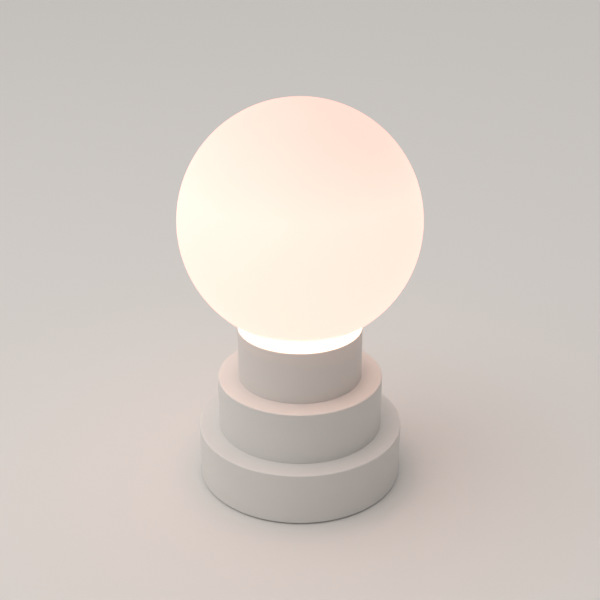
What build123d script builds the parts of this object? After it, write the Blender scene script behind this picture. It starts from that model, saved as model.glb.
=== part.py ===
from build123d import *
import os
from math import radians, sqrt, tan

# A cordless table lamp: an opal globe twists into a base of three stacked round tiers.
# Millimetres, +Z up, the table at z = 0. The button and charging socket are at the back, on +Y.

# Clearances
turn_gap = 0.3  # between pieces that turn past each other by hand
slide_gap = 0.15  # round the button, the rear panel's edge and the battery cells
seat_gap = 0.05  # round screws, pivots and pieces that are pressed or glued in

# Globe and its bayonet
globe_diameter = 150.0
globe_wall = 2.2
globe_sink = 5.0  # how far the ball dips below the top of the base
neck_diameter = 46.0
lug_count = 3
lug_reach = 3.0
lug_height = 3.0
lug_angle = 28.0
unlock_angle = 45.0
stop_angle = 6.0
stop_gap_angle = 1.0
notch_gap_angle = 2.0
gasket_width = 4.0
bayonet_ring_height = 6.0

# Three tiers of the base
top_diameter = 80.0
top_height = 35.0
top_plate = 4.5
middle_diameter = 107.0
middle_height = 35.0
bottom_diameter = 133.5
bottom_height = 35.0
tier_wall = 2.0
tier_plate = 2.0
edge_radius = 0.8
boss_diameter = 8.0
boss_height = 14.0
tier_screw = 4.0
tier_screw_length = 10.0
fixing_count = 3
tier_screw_angle = 30.0
ring_screw_angle = 90.0
bayonet_screw = 2.5
bayonet_screw_bite = 2.6

# Base plate, feet and ballast
foot_height = 1.0  # air under the bottom tier's wall
foot_diameter = 13.0
foot_edge = 0.3
base_plate_recess = 0.5
base_plate_thickness = 3.0
base_screw = 3.0
base_screw_length = 12.0
base_screw_inset = 7.75  # from the inside of the wall
base_boss_gap = 0.5  # from the rear panel's flange, and from the cells' cradles, to the bosses beside them
seal_width = 2.0
seal_height = 1.5
ballast_thickness = 10.0
ballast_screw = 4.0
ballast_screw_bite = 2.2
ballast_screw_inset = 8.0

# Light engine
heat_flange = 3.0
heat_screw = 3.0
heat_screw_length = 6.0
heat_bore = 8.0
heat_spigot = 12.0
fin_count = 12
fin_slot_width = 2.4
fin_slot_depth = 5.0
fin_cap = 3.0
led_drop = 8.0  # top of the LED board below the top of the base
led_board_thickness = 1.6
led_board_screw = 2.5
led_board_screw_length = 6.0
led_board_screw_spacing = 16.0
led_count = 8
led_length = 3.5
led_width = 2.8
led_height = 0.8
dome_gap = 1.2  # between the dome and the inside of the neck
dome_height = 12.0
dome_wall = 1.2
dome_to_led = 4.2

# Rear panel, its cover and its button
panel_width = 37.0
panel_height = 14.0
panel_flange = 2.0
ear_offset = 6.5  # ear screws outside the panel's edge
ear_margin = 3.2
ear_boss_diameter = 5.6
ear_boss_depth = 3.2
ear_screw = 2.5
ear_screw_length = 6.0
plug_width = 12.8
plug_height = 7.0
plug_corner = 1.0
cover_width = 14.6
cover_lap = 1.1  # cover beyond the plug's pocket, at its free edge
cover_knuckle = 1.6
cover_pivot = 1.4
cover_pivot_reach = 1.0
cover_pivot_depth = 1.35  # pivot behind the base's outer face
cover_swing_gap = 0.8
cover_rib = 0.8
cover_rib_gap = 0.4
cover_flush = 0.2
nail_notch = 5.0
button_offset = 13.0
button_diameter = 7.0
button_proud = 0.7
button_flange_diameter = 8.8
button_flange = 1.2
button_shoulder = 4.8  # behind the base's outer face
button_stem = 3.0
button_edge = 0.4
ring_groove = 0.7
ring_width = 1.0
indicator_offset = 11.5
light_pipe_diameter = 2.5
light_pipe_collar = 4.0

# Circuit board and what stands on it
board_height = 16.0
board_thickness = 1.6
board_standoff = 1.8
board_margin = 2.5
board_post_diameter = 4.0
board_post_offset = 1.5  # outside the panel's edge
board_screw = 2.0
board_screw_length = 4.5
usb_width = 8.94
usb_height = 3.26
usb_wall = 0.3
usb_length = 6.5
usb_proud = 0.2
usb_tongue_width = 6.7
usb_tongue_height = 0.7
usb_tongue_length = 5.9
usb_block = 1.5
switch_size = 6.0
switch_height = 3.4
plunger_diameter = 3.4
plunger_reach = 1.5
plunger_inside = 1.1
plunger_travel_room = 2.4
indicator_size = 1.6
indicator_height = 0.8
header_width = 8.0
header_height = 4.6
header_depth = 5.0
header_wall = 0.8
header_floor = 1.0
header_spacing = 8.0
plug_stands_out = 2.5
coil_diameter = 7.0
coil_height = 3.5
coil_edge = 0.6
chip_height = 1.0
driver_chip = 5.0
charger_chip = 3.6
chip_margin = 4.5  # from the headers to the coil and the chips
chip_gap = 1.5

# Battery and leads
cell_diameter = 18.5
cell_length = 65.0
cell_margin = 1.0
cradle_wall = 1.3
cradle_floor = 1.5
cradle_grip = 3.0  # cradle wall above the cell's middle
cradle_end = 2.0  # cell beyond the cradle
tab_width = 6.0
tab_height = 14.0
tab_thickness = 0.3
lead_diameter = 1.6
lead_pitch = 2.5
lead_grip = 2.0
lead_overlap = 2.0
lead_slack = 1.0
lead_room = 7.0  # least room between the battery leads and their plug
battery_lead_bend_share = 0.75  # of the run into the battery plug
link_sag = 3.4
link_bend = 200.0
led_lead_bend = 14.0
solder_diameter = 2.2
solder_height = 0.8
grommet_bore = 6.0
grommet_hole = 12.0
grommet_lip = 1.5

# Pan heads and flat heads follow the screw's own diameter
head_ratio = 1.9
head_height_ratio = 0.65
head_round_ratio = 0.2
socket_ratio = 0.45
socket_depth_share = 0.5  # of the head
countersink_angle = 90.0

# Heights
bottom_z = foot_height
bottom_top_z = bottom_z + bottom_height
middle_top_z = bottom_top_z + middle_height
rim_z = middle_top_z + top_height
globe_r = globe_diameter / 2
globe_z = rim_z - globe_sink + globe_r
plate_z = bottom_z + base_plate_recess
plate_top_z = plate_z + base_plate_thickness
ceiling_z = bottom_top_z - tier_plate
seat_z = rim_z - top_plate
ring_bottom_z = seat_z - bayonet_ring_height
lug_top_z = ring_bottom_z - turn_gap
neck_end_z = lug_top_z - lug_height
led_top_z = rim_z - led_drop
led_board_z = led_top_z - led_board_thickness
panel_z = (plate_top_z + ceiling_z) / 2
battery_plug_z = panel_z - header_spacing / 2
led_plug_z = panel_z + header_spacing / 2

# Radii of the globe and what it fits
neck_r = neck_diameter / 2
neck_inner_r = neck_r - globe_wall
lug_r = neck_r + lug_reach
dip_r = sqrt(globe_r**2 - (globe_r - globe_sink) ** 2)
throat_r = max(dip_r + turn_gap, neck_r + gasket_width + turn_gap)
ring_bore_r = neck_r + turn_gap
notch_r = lug_r + turn_gap
dome_r = neck_inner_r - dome_gap

# Radii of the tiers and their fixings
top_r = top_diameter / 2
top_inner_r = top_r - tier_wall
middle_r = middle_diameter / 2
middle_inner_r = middle_r - tier_wall
bottom_r = bottom_diameter / 2
bottom_inner_r = bottom_r - tier_wall
trim_height = 2 * rim_z
boss_r = boss_diameter / 2
top_boss_r = top_inner_r - boss_r + tier_wall / 2
middle_boss_r = middle_inner_r - boss_r + tier_wall / 2
ring_outer_r = top_inner_r - turn_gap
ring_screw_r = (throat_r + ring_outer_r) / 2
heat_flange_r = top_boss_r - boss_r - dome_gap
heat_screw_r = (dome_r + heat_flange_r) / 2
base_boss_r = bottom_inner_r - base_screw_inset

# Depths of the rear panel and the circuit board, from the front towards the back
ear_x = panel_width / 2 + ear_offset
ear_boss_r = ear_boss_diameter / 2
rear_boss_x = ear_x + ear_margin + base_boss_gap + boss_r
rear_boss_y = sqrt(base_boss_r**2 - rear_boss_x**2)
flange_back_y = sqrt(bottom_inner_r**2 - (ear_x + ear_boss_r) ** 2) - ear_boss_depth
flange_y = flange_back_y - panel_flange
board_back_y = flange_y - board_standoff
board_y = board_back_y - board_thickness
usb_mouth_y = board_back_y + usb_length
pocket_y = usb_mouth_y - usb_proud
header_y = board_y - header_depth
plug_y = header_y - plug_stands_out
button_shoulder_y = bottom_r - button_shoulder
switch_top_y = board_back_y + switch_height
plunger_tip_y = switch_top_y + plunger_reach
pivot_y = bottom_r - cover_pivot_depth
cover_y = pivot_y - cover_knuckle / 2
pivot_z = panel_z + plug_height / 2 + cover_knuckle / 2
cover_bottom_z = panel_z - plug_height / 2 - cover_lap
post_x = panel_width / 2 + board_post_offset
board_width = 2 * (post_x + board_margin)

# Battery positions: the cells lie midway, or further forward where their plug needs the room
cell_r = cell_diameter / 2
cradle_half = cell_r + slide_gap + cradle_wall
lead_r = lead_diameter / 2
lead_stand = tab_thickness + lead_r + seat_gap
cell_back_y = min(cell_length / 2, plug_y - lead_room - lead_stand)
cell_front_y = cell_back_y - cell_length
cell_middle_y = (cell_front_y + cell_back_y) / 2
cell_x = sqrt((bottom_inner_r - cell_margin) ** 2 - (cell_margin - cell_front_y) ** 2) - cradle_half
cell_z = plate_top_z + cradle_floor + slide_gap + cell_r
front_boss_x = cell_x - cradle_half - base_boss_gap - boss_r
front_boss_y = -sqrt(base_boss_r**2 - front_boss_x**2)
ballast_width = 2 * (cell_x - cradle_half - cell_margin)
ballast_length = cell_length - 2 * cradle_end
ballast_span_x = ballast_width - 2 * ballast_screw_inset
ballast_span_y = ballast_length - 2 * ballast_screw_inset
link_y = cell_front_y - lead_stand
lead_y = cell_back_y + lead_stand
battery_lead_run = plug_y - lead_y - lead_slack


def level(z):
    """A level plane at height z."""
    return Plane.XY.offset(z)


def across(y):
    """An upright plane at depth y, seen from the front: extruding by a negative amount goes back."""
    return Plane.XZ.offset(-y)


def ring_sector(inner_r, outer_r, middle_angle, width_angle):
    """Part of a flat ring."""
    with BuildSketch(mode=Mode.PRIVATE) as sector:
        with BuildLine():
            outer = CenterArc((0, 0), outer_r, middle_angle - width_angle / 2, width_angle)
            inner = CenterArc((0, 0), inner_r, middle_angle - width_angle / 2, width_angle)
            Line(outer @ 0, inner @ 0)
            Line(outer @ 1, inner @ 1)
        make_face()
    return sector.sketch


def pan_screw(shank, length):
    """A screw with its head above z = 0 and its shank below."""
    head_height = shank * head_height_ratio
    with BuildPart() as screw:
        with BuildSketch():
            Circle(shank * head_ratio / 2)
        extrude(amount=head_height)
        fillet(screw.edges().group_by(Axis.Z)[-1], shank * head_round_ratio)
        with BuildSketch(level(head_height)):
            RegularPolygon(shank * socket_ratio, 6)
        extrude(amount=-head_height * socket_depth_share, mode=Mode.SUBTRACT)
        with BuildSketch():
            Circle(shank / 2)
        extrude(amount=-length)
    return screw.part


def flat_screw(shank, length):
    """A countersunk screw with the top of its head at z = 0."""
    cone = shank * (head_ratio - 1) / 2 / tan(radians(countersink_angle / 2))
    with BuildPart() as screw:
        with BuildSketch(Plane.XZ):
            Polygon(
                (0, 0),
                (shank * head_ratio / 2, 0),
                (shank / 2, -cone),
                (shank / 2, -length),
                (0, -length),
                align=None,
            )
        revolve(axis=Axis.Z)
        with BuildSketch():
            RegularPolygon(shank * socket_ratio, 6)
        extrude(amount=-cone * socket_depth_share, mode=Mode.SUBTRACT)
    return screw.part


def lead_tube(points, bend):
    """An insulated lead of straight runs and tangent bends."""
    with BuildPart() as tube:
        with BuildLine() as route:
            FilletPolyline(*points, radius=bend)
        with BuildSketch(Plane(origin=route.line @ 0, z_dir=route.line % 0)):
            Circle(lead_r)
        sweep(path=route.line)
    return tube.part


rear_spots = [(-rear_boss_x, rear_boss_y), (rear_boss_x, rear_boss_y)]
front_spots = [(-front_boss_x, front_boss_y), (front_boss_x, front_boss_y)]
base_screw_spots = rear_spots + front_spots
lug_angles = [90.0 + index * 360 / lug_count for index in range(lug_count)]
head_down = (180, 0, 0)
head_front = (90, 0, 0)

# Globe: an opal ball that runs down into a neck with bayonet lugs
with BuildPart() as globe:
    neck_top_z = globe_z - sqrt(globe_r**2 - neck_r**2)
    inner_r = globe_r - globe_wall
    neck_inner_top_z = globe_z - sqrt(inner_r**2 - neck_inner_r**2)
    with BuildSketch(Plane.XZ):
        with BuildLine():
            Line((neck_r, neck_end_z), (neck_r, neck_top_z))
            ThreePointArc((neck_r, neck_top_z), (globe_r, globe_z), (0, globe_z + globe_r))
            Line((0, globe_z + globe_r), (0, globe_z + inner_r))
            ThreePointArc((0, globe_z + inner_r), (inner_r, globe_z), (neck_inner_r, neck_inner_top_z))
            Line((neck_inner_r, neck_inner_top_z), (neck_inner_r, neck_end_z))
            Line((neck_inner_r, neck_end_z), (neck_r, neck_end_z))
        make_face()
    revolve(axis=Axis.Z)
    with BuildSketch(level(neck_end_z)):
        for angle in lug_angles:
            add(ring_sector(neck_r - globe_wall / 2, lug_r, angle, lug_angle))
    extrude(amount=lug_height)

# Gasket: stretched on the neck, under the ball, flat on the bayonet ring
with BuildPart() as globe_gasket:
    gasket_inner_r = neck_r + seat_gap
    gasket_outer_r = throat_r - turn_gap
    ball_r = globe_r + seat_gap
    gasket_middle_r = (gasket_inner_r + gasket_outer_r) / 2
    lip = [(r, globe_z - sqrt(ball_r**2 - r**2)) for r in (gasket_inner_r, gasket_middle_r, gasket_outer_r)]
    with BuildSketch(Plane.XZ):
        with BuildLine():
            ThreePointArc(*lip)
            Polyline(lip[2], (gasket_outer_r, seat_z), (gasket_inner_r, seat_z), lip[0])
        make_face()
    revolve(axis=Axis.Z)

# Bayonet ring: the lugs drop through its notches and turn under it, between stops
with BuildPart() as bayonet_ring:
    with BuildSketch(level(ring_bottom_z)):
        Circle(ring_outer_r)
        Circle(ring_bore_r, mode=Mode.SUBTRACT)
        for angle in lug_angles:
            notch = ring_sector(neck_inner_r, notch_r, angle + unlock_angle, lug_angle + 2 * notch_gap_angle)
            add(notch, mode=Mode.SUBTRACT)
        with PolarLocations(ring_screw_r, fixing_count, start_angle=ring_screw_angle):
            Circle(bayonet_screw / 2 + seat_gap, mode=Mode.SUBTRACT)
    extrude(amount=bayonet_ring_height)
    stop_offset = lug_angle / 2 + stop_gap_angle + stop_angle / 2
    with BuildSketch(level(ring_bottom_z)):
        for angle in lug_angles:
            add(ring_sector(ring_bore_r, notch_r + turn_gap, angle - stop_offset, stop_angle))
            add(ring_sector(ring_bore_r, notch_r + turn_gap, angle + unlock_angle + stop_offset, stop_angle))
    extrude(amount=-lug_height)

with BuildPart() as bayonet_screws:
    bayonet_screw_part = pan_screw(bayonet_screw, bayonet_ring_height + bayonet_screw_bite)
    with Locations((0, 0, ring_bottom_z)):
        with PolarLocations(ring_screw_r, fixing_count, start_angle=ring_screw_angle):
            add(bayonet_screw_part, rotation=head_down)

# Top tier: a cup with a thick top, open at the throat for the globe's neck
with BuildPart() as top_tier:
    with BuildSketch(level(middle_top_z)):
        Circle(top_r)
    extrude(amount=top_height)
    fillet(top_tier.edges().group_by(Axis.Z)[-1], min(edge_radius, tier_wall / 2))
    with BuildSketch(level(middle_top_z)):
        Circle(top_inner_r)
    extrude(amount=top_height - top_plate, mode=Mode.SUBTRACT)
    with BuildSketch(level(seat_z)):
        Circle(throat_r)
    extrude(amount=top_plate, mode=Mode.SUBTRACT)
    with BuildSketch(level(middle_top_z)):
        with PolarLocations(top_boss_r, fixing_count, start_angle=tier_screw_angle):
            Circle(boss_r)
    extrude(amount=boss_height)
    with BuildSketch(level(middle_top_z)):
        with PolarLocations(top_boss_r, fixing_count, start_angle=tier_screw_angle):
            Circle(tier_screw / 2 + seat_gap)
    extrude(amount=tier_screw_length, mode=Mode.SUBTRACT)
    with BuildSketch(level(seat_z)):
        with PolarLocations(ring_screw_r, fixing_count, start_angle=ring_screw_angle):
            Circle(bayonet_screw / 2 + seat_gap)
    extrude(amount=bayonet_screw_bite + seat_gap, mode=Mode.SUBTRACT)

with BuildPart() as top_tier_screws:
    tier_screw_part = pan_screw(tier_screw, tier_screw_length)
    with Locations((0, 0, middle_top_z - tier_plate)):
        with PolarLocations(top_boss_r, fixing_count, start_angle=tier_screw_angle):
            add(tier_screw_part, rotation=head_down)

# Middle tier: a cup whose top carries the heat sink and the top tier
with BuildPart() as middle_tier:
    with BuildSketch(level(bottom_top_z)):
        Circle(middle_r)
    extrude(amount=middle_height)
    fillet(middle_tier.edges().group_by(Axis.Z)[-1], min(edge_radius, tier_wall / 2))
    with BuildSketch(level(bottom_top_z)):
        Circle(middle_inner_r)
    extrude(amount=middle_height - tier_plate, mode=Mode.SUBTRACT)
    with BuildSketch(level(middle_top_z)):
        Circle(heat_spigot / 2 + seat_gap)
        with PolarLocations(top_boss_r, fixing_count, start_angle=tier_screw_angle):
            Circle(tier_screw / 2 + seat_gap)
        with PolarLocations(heat_screw_r, fixing_count, start_angle=ring_screw_angle):
            Circle(heat_screw / 2 + seat_gap)
    extrude(amount=-tier_plate, mode=Mode.SUBTRACT)
    with BuildSketch(level(bottom_top_z)):
        with PolarLocations(middle_boss_r, fixing_count, start_angle=tier_screw_angle):
            Circle(boss_r)
    extrude(amount=boss_height)
    with BuildSketch(level(bottom_top_z)):
        with PolarLocations(middle_boss_r, fixing_count, start_angle=tier_screw_angle):
            Circle(tier_screw / 2 + seat_gap)
    extrude(amount=tier_screw_length, mode=Mode.SUBTRACT)

with BuildPart() as middle_tier_screws:
    with Locations((0, 0, ceiling_z)):
        with PolarLocations(middle_boss_r, fixing_count, start_angle=tier_screw_angle):
            add(tier_screw_part, rotation=head_down)

# Ear bosses: inside the bottom tier's back wall, trimmed to end within the wall
with BuildPart() as ear_bosses:
    with BuildSketch(across(flange_back_y)):
        with Locations((-ear_x, panel_z), (ear_x, panel_z)):
            Circle(ear_boss_r)
    extrude(amount=flange_back_y - bottom_r)
    Cylinder(bottom_r - tier_wall / 2, trim_height, mode=Mode.INTERSECT)

# Bottom tier: a cup with bosses for the base plate and a window for the rear panel
with BuildPart() as bottom_tier:
    with BuildSketch(level(bottom_z)):
        Circle(bottom_r)
    extrude(amount=bottom_height)
    fillet(bottom_tier.edges().group_by(Axis.Z)[-1], min(edge_radius, tier_wall / 2))
    with BuildSketch(level(bottom_z)):
        Circle(bottom_inner_r)
    extrude(amount=bottom_height - tier_plate, mode=Mode.SUBTRACT)
    with BuildSketch(level(bottom_top_z)):
        Circle(grommet_hole / 2 + seat_gap)
        with PolarLocations(middle_boss_r, fixing_count, start_angle=tier_screw_angle):
            Circle(tier_screw / 2 + seat_gap)
    extrude(amount=-tier_plate, mode=Mode.SUBTRACT)
    with BuildSketch(level(plate_top_z)):
        with Locations(*base_screw_spots):
            Circle(boss_r)
    extrude(amount=ceiling_z - plate_top_z)
    with BuildSketch(level(plate_top_z)):
        with Locations(*base_screw_spots):
            Circle(base_screw / 2 + seat_gap)
    extrude(amount=base_screw_length, mode=Mode.SUBTRACT)
    with BuildSketch(across(flange_back_y)):
        with Locations((0, panel_z)):
            Rectangle(panel_width + 2 * slide_gap, panel_height + 2 * slide_gap)
    extrude(amount=flange_back_y - bottom_r, mode=Mode.SUBTRACT)
    add(ear_bosses.part)
    with BuildSketch(across(flange_back_y)):
        with Locations((-ear_x, panel_z), (ear_x, panel_z)):
            Circle(ear_screw / 2 + seat_gap)
    extrude(amount=panel_flange - ear_screw_length - seat_gap, mode=Mode.SUBTRACT)

# Base plate: closes the bottom, with a rebate for its seal
with BuildPart() as base_plate:
    base_plate_r = bottom_inner_r - turn_gap
    with BuildSketch(level(plate_z)):
        Circle(base_plate_r)
    extrude(amount=base_plate_thickness)
    with BuildSketch(level(plate_top_z)):
        Circle(base_plate_r)
        Circle(base_plate_r - seal_width, mode=Mode.SUBTRACT)
    extrude(amount=-seal_height, mode=Mode.SUBTRACT)
    with Locations(*[Location((x, y, plate_z), head_down) for x, y in base_screw_spots]):
        base_head_r = base_screw * head_ratio / 2 + seat_gap
        CounterSinkHole(base_screw / 2 + seat_gap, base_head_r, base_plate_thickness, countersink_angle)
    with BuildSketch(level(plate_top_z)):
        with Locations((0, cell_middle_y)):
            with GridLocations(ballast_span_x, ballast_span_y, 2, 2):
                Circle(ballast_screw / 2 + seat_gap)
    extrude(amount=-ballast_screw_bite - seat_gap, mode=Mode.SUBTRACT)

with BuildPart() as base_screws:
    base_screw_part = flat_screw(base_screw, base_screw_length)
    with Locations((0, 0, plate_z)):
        with Locations(*base_screw_spots):
            add(base_screw_part, rotation=head_down)

with BuildPart() as base_seal:
    with BuildSketch(level(plate_top_z - seal_height)):
        Circle(bottom_inner_r - seat_gap)
        Circle(bottom_inner_r - turn_gap - seal_width + seat_gap, mode=Mode.SUBTRACT)
    extrude(amount=seal_height)

with BuildPart() as foot_pads:
    with BuildSketch():
        with Locations(*base_screw_spots):
            Circle(foot_diameter / 2)
    extrude(amount=plate_z)
    fillet(foot_pads.edges().group_by(Axis.Z)[0], foot_edge)

# Ballast: a steel block on the base plate, between the battery cells
with BuildPart() as ballast_block:
    with BuildSketch(level(plate_top_z)):
        with Locations((0, cell_middle_y)):
            RectangleRounded(ballast_width, ballast_length, edge_radius)
    extrude(amount=ballast_thickness)
    with Locations((0, cell_middle_y, plate_top_z + ballast_thickness)):
        with GridLocations(ballast_span_x, ballast_span_y, 2, 2):
            ballast_hole_r = ballast_screw / 2 + seat_gap
            ballast_head_r = ballast_screw * head_ratio / 2 + seat_gap
            CounterSinkHole(ballast_hole_r, ballast_head_r, ballast_thickness, countersink_angle)

with BuildPart() as ballast_screws:
    ballast_screw_part = flat_screw(ballast_screw, ballast_thickness + ballast_screw_bite)
    with Locations((0, cell_middle_y, plate_top_z + ballast_thickness)):
        with GridLocations(ballast_span_x, ballast_span_y, 2, 2):
            add(ballast_screw_part)

# Heat sink: a finned aluminium post that carries the LED board inside the globe's neck
with BuildPart() as heat_sink:
    with BuildSketch(level(middle_top_z)):
        Circle(heat_flange_r)
    extrude(amount=heat_flange)
    with BuildSketch(level(middle_top_z + heat_flange)):
        Circle(dome_r)
    extrude(amount=led_board_z - middle_top_z - heat_flange)
    with BuildSketch(level(middle_top_z + heat_flange)):
        with PolarLocations(dome_r, fin_count):
            Rectangle(2 * fin_slot_depth, fin_slot_width)
    extrude(amount=led_board_z - middle_top_z - heat_flange - fin_cap, mode=Mode.SUBTRACT)
    with BuildSketch(level(middle_top_z)):
        Circle(heat_spigot / 2)
    extrude(amount=-tier_plate)
    with BuildSketch(level(middle_top_z - tier_plate)):
        Circle(heat_bore / 2)
    extrude(amount=led_board_z - middle_top_z + tier_plate, mode=Mode.SUBTRACT)
    with BuildSketch(level(middle_top_z)):
        with PolarLocations(heat_screw_r, fixing_count, start_angle=ring_screw_angle):
            Circle(heat_screw / 2 + seat_gap)
    extrude(amount=heat_flange, mode=Mode.SUBTRACT)
    with BuildSketch(level(led_board_z)):
        with GridLocations(0, led_board_screw_spacing, 1, 2):
            Circle(led_board_screw / 2 + seat_gap)
    extrude(amount=-led_board_screw_length, mode=Mode.SUBTRACT)

with BuildPart() as heat_sink_screws:
    heat_screw_part = pan_screw(heat_screw, heat_screw_length)
    with Locations((0, 0, middle_top_z + heat_flange)):
        with PolarLocations(heat_screw_r, fixing_count, start_angle=ring_screw_angle):
            add(heat_screw_part)

with BuildPart() as led_board:
    with BuildSketch(level(led_board_z)):
        Circle(dome_r)
        with GridLocations(0, led_board_screw_spacing, 1, 2):
            Circle(led_board_screw / 2 + seat_gap, mode=Mode.SUBTRACT)
        with GridLocations(lead_pitch, 0, 2, 1):
            Circle(lead_r + seat_gap, mode=Mode.SUBTRACT)
    extrude(amount=led_board_thickness)

with BuildPart() as led_board_screws:
    led_board_screw_part = pan_screw(led_board_screw, led_board_screw_length)
    with Locations((0, 0, led_top_z)):
        with GridLocations(0, led_board_screw_spacing, 1, 2):
            add(led_board_screw_part)

# Dome: a clear cap of two concentric spherical shells, glued on the board's rim
dome_ball_r = (dome_r**2 + dome_height**2) / (2 * dome_height)
dome_inner_ball_r = dome_ball_r - dome_wall
dome_inner_r = sqrt(dome_inner_ball_r**2 - (dome_ball_r - dome_height) ** 2)
with BuildPart() as led_dome:
    with BuildSketch(Plane.XZ):
        with BuildLine():
            dome_top_z = led_top_z + dome_height
            RadiusArc((dome_r, led_top_z), (0, dome_top_z), -dome_ball_r)
            Line((0, dome_top_z), (0, dome_top_z - dome_wall))
            RadiusArc((0, dome_top_z - dome_wall), (dome_inner_r, led_top_z), dome_inner_ball_r)
            Line((dome_inner_r, led_top_z), (dome_r, led_top_z))
        make_face()
    revolve(axis=Axis.Z)

with BuildPart() as led_chips:
    with BuildSketch(level(led_top_z)):
        with PolarLocations(dome_inner_r - dome_to_led, led_count, start_angle=180 / led_count):
            Rectangle(led_width, led_length)
    extrude(amount=led_height)

# Rear panel: flush with the wall outside, with an inner flange screwed to the ear bosses
with BuildPart() as rear_panel:
    with BuildSketch(across(flange_back_y)):
        with Locations((0, panel_z)):
            Rectangle(panel_width, panel_height)
    extrude(amount=flange_back_y - bottom_r)
    Cylinder(bottom_r, trim_height, mode=Mode.INTERSECT)
    with BuildSketch(across(flange_y)):
        with Locations((0, panel_z)):
            Rectangle(2 * (ear_x + ear_margin), panel_height)
    extrude(amount=-panel_flange)
    with BuildSketch(across(board_back_y)):
        with Locations((-post_x, panel_z), (post_x, panel_z)):
            Circle(board_post_diameter / 2)
    extrude(amount=-board_standoff)
    with BuildSketch(across(flange_y)):
        with Locations((-ear_x, panel_z), (ear_x, panel_z)):
            Circle(ear_screw / 2 + seat_gap)
        with Locations((0, panel_z)):
            SlotOverall(usb_width + 2 * slide_gap, usb_height + 2 * slide_gap)
    extrude(amount=flange_y - bottom_r, mode=Mode.SUBTRACT)
    with BuildSketch(across(board_back_y)):
        with Locations((-post_x, panel_z), (post_x, panel_z)):
            Circle(board_screw / 2 + seat_gap)
    extrude(amount=board_thickness - board_screw_length, mode=Mode.SUBTRACT)
    with BuildSketch(across(pocket_y)):
        with Locations((0, panel_z)):
            RectangleRounded(plug_width, plug_height, plug_corner)
    extrude(amount=pocket_y - bottom_r, mode=Mode.SUBTRACT)
    recess_top_z = pivot_z + cover_knuckle / 2 + cover_swing_gap
    recess_bottom_z = cover_bottom_z - turn_gap
    with BuildSketch(across(cover_y - turn_gap)):
        with Locations((0, (recess_top_z + recess_bottom_z) / 2)):
            Rectangle(cover_width + 2 * turn_gap, recess_top_z - recess_bottom_z)
        with Locations((0, recess_bottom_z)):
            Circle(nail_notch / 2)
    extrude(amount=cover_y - turn_gap - bottom_r, mode=Mode.SUBTRACT)
    with BuildSketch(Plane.YZ):
        with Locations((pivot_y, pivot_z)):
            Circle(cover_pivot / 2 + seat_gap)
    extrude(amount=cover_width / 2 + turn_gap + cover_pivot_reach + seat_gap, both=True, mode=Mode.SUBTRACT)
    with BuildSketch(across(flange_y)):
        with Locations((button_offset, panel_z)):
            Circle(button_flange_diameter / 2 + turn_gap)
    extrude(amount=flange_y - button_shoulder_y, mode=Mode.SUBTRACT)
    with BuildSketch(across(flange_y)):
        with Locations((button_offset, panel_z)):
            Circle(button_diameter / 2 + slide_gap)
        with Locations((-indicator_offset, panel_z)):
            Circle(light_pipe_diameter / 2 + seat_gap)
    extrude(amount=flange_y - bottom_r, mode=Mode.SUBTRACT)

with BuildPart() as rear_panel_screws:
    ear_screw_part = pan_screw(ear_screw, ear_screw_length)
    with Locations((-ear_x, flange_y, panel_z), (ear_x, flange_y, panel_z)):
        add(ear_screw_part, rotation=head_front)

# Port cover: hangs from two stub pivots over the charging socket and swings up
with BuildPart() as port_cover:
    with BuildSketch(across(cover_y)):
        with Locations((0, (pivot_z + cover_bottom_z) / 2)):
            Rectangle(cover_width, pivot_z - cover_bottom_z)
    extrude(amount=cover_y - bottom_r)
    Cylinder(bottom_r - cover_flush, trim_height, mode=Mode.INTERSECT)
    with BuildSketch(Plane.YZ):
        with Locations((pivot_y, pivot_z)):
            Circle(cover_knuckle / 2)
    extrude(amount=cover_width / 2, both=True)
    with BuildSketch(Plane.YZ):
        with Locations((pivot_y, pivot_z)):
            Circle(cover_pivot / 2)
    extrude(amount=cover_width / 2 + turn_gap + cover_pivot_reach, both=True)
    with BuildSketch(across(cover_y)):
        with Locations((0, panel_z)):
            rib_width = plug_width - 2 * cover_rib_gap
            rib_height = plug_height - 2 * cover_rib_gap
            RectangleRounded(rib_width, rib_height, plug_corner - cover_rib_gap)
    extrude(amount=cover_rib)

# Power button: a round cap with a flange behind the panel and a stem to the switch
with BuildPart() as power_button:
    with BuildSketch(across(button_shoulder_y)):
        with Locations((button_offset, panel_z)):
            Circle(button_diameter / 2)
    extrude(amount=button_shoulder_y - bottom_r - button_proud)
    Cylinder(bottom_r + button_proud, trim_height, mode=Mode.INTERSECT)
    fillet(power_button.edges().group_by(Axis.Y)[-1], button_edge)
    with BuildSketch(across(button_shoulder_y)):
        with Locations((button_offset, panel_z)):
            Circle(button_flange_diameter / 2)
    extrude(amount=button_flange)
    with BuildSketch(across(button_shoulder_y - button_flange)):
        with Locations((button_offset, panel_z)):
            Circle(button_stem / 2)
    extrude(amount=button_shoulder_y - button_flange - plunger_tip_y - seat_gap)
    with BuildSketch(across(button_shoulder_y + ring_width / 2)):
        with Locations((button_offset, panel_z)):
            Circle(button_diameter / 2)
            Circle(button_diameter / 2 - ring_groove, mode=Mode.SUBTRACT)
    extrude(amount=-ring_width, mode=Mode.SUBTRACT)

with BuildPart() as button_ring:
    with BuildSketch(across(button_shoulder_y + ring_width / 2 + seat_gap)):
        with Locations((button_offset, panel_z)):
            Circle(button_diameter / 2 + slide_gap - seat_gap)
            Circle(button_diameter / 2 - ring_groove + seat_gap, mode=Mode.SUBTRACT)
    extrude(amount=2 * seat_gap - ring_width)

with BuildPart() as switch_body:
    with BuildSketch(across(board_back_y)):
        with Locations((button_offset, panel_z)):
            Rectangle(switch_size, switch_size)
    extrude(amount=-switch_height)
    with BuildSketch(across(switch_top_y)):
        with Locations((button_offset, panel_z)):
            Circle(plunger_diameter / 2 + seat_gap)
    extrude(amount=plunger_travel_room, mode=Mode.SUBTRACT)

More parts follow.
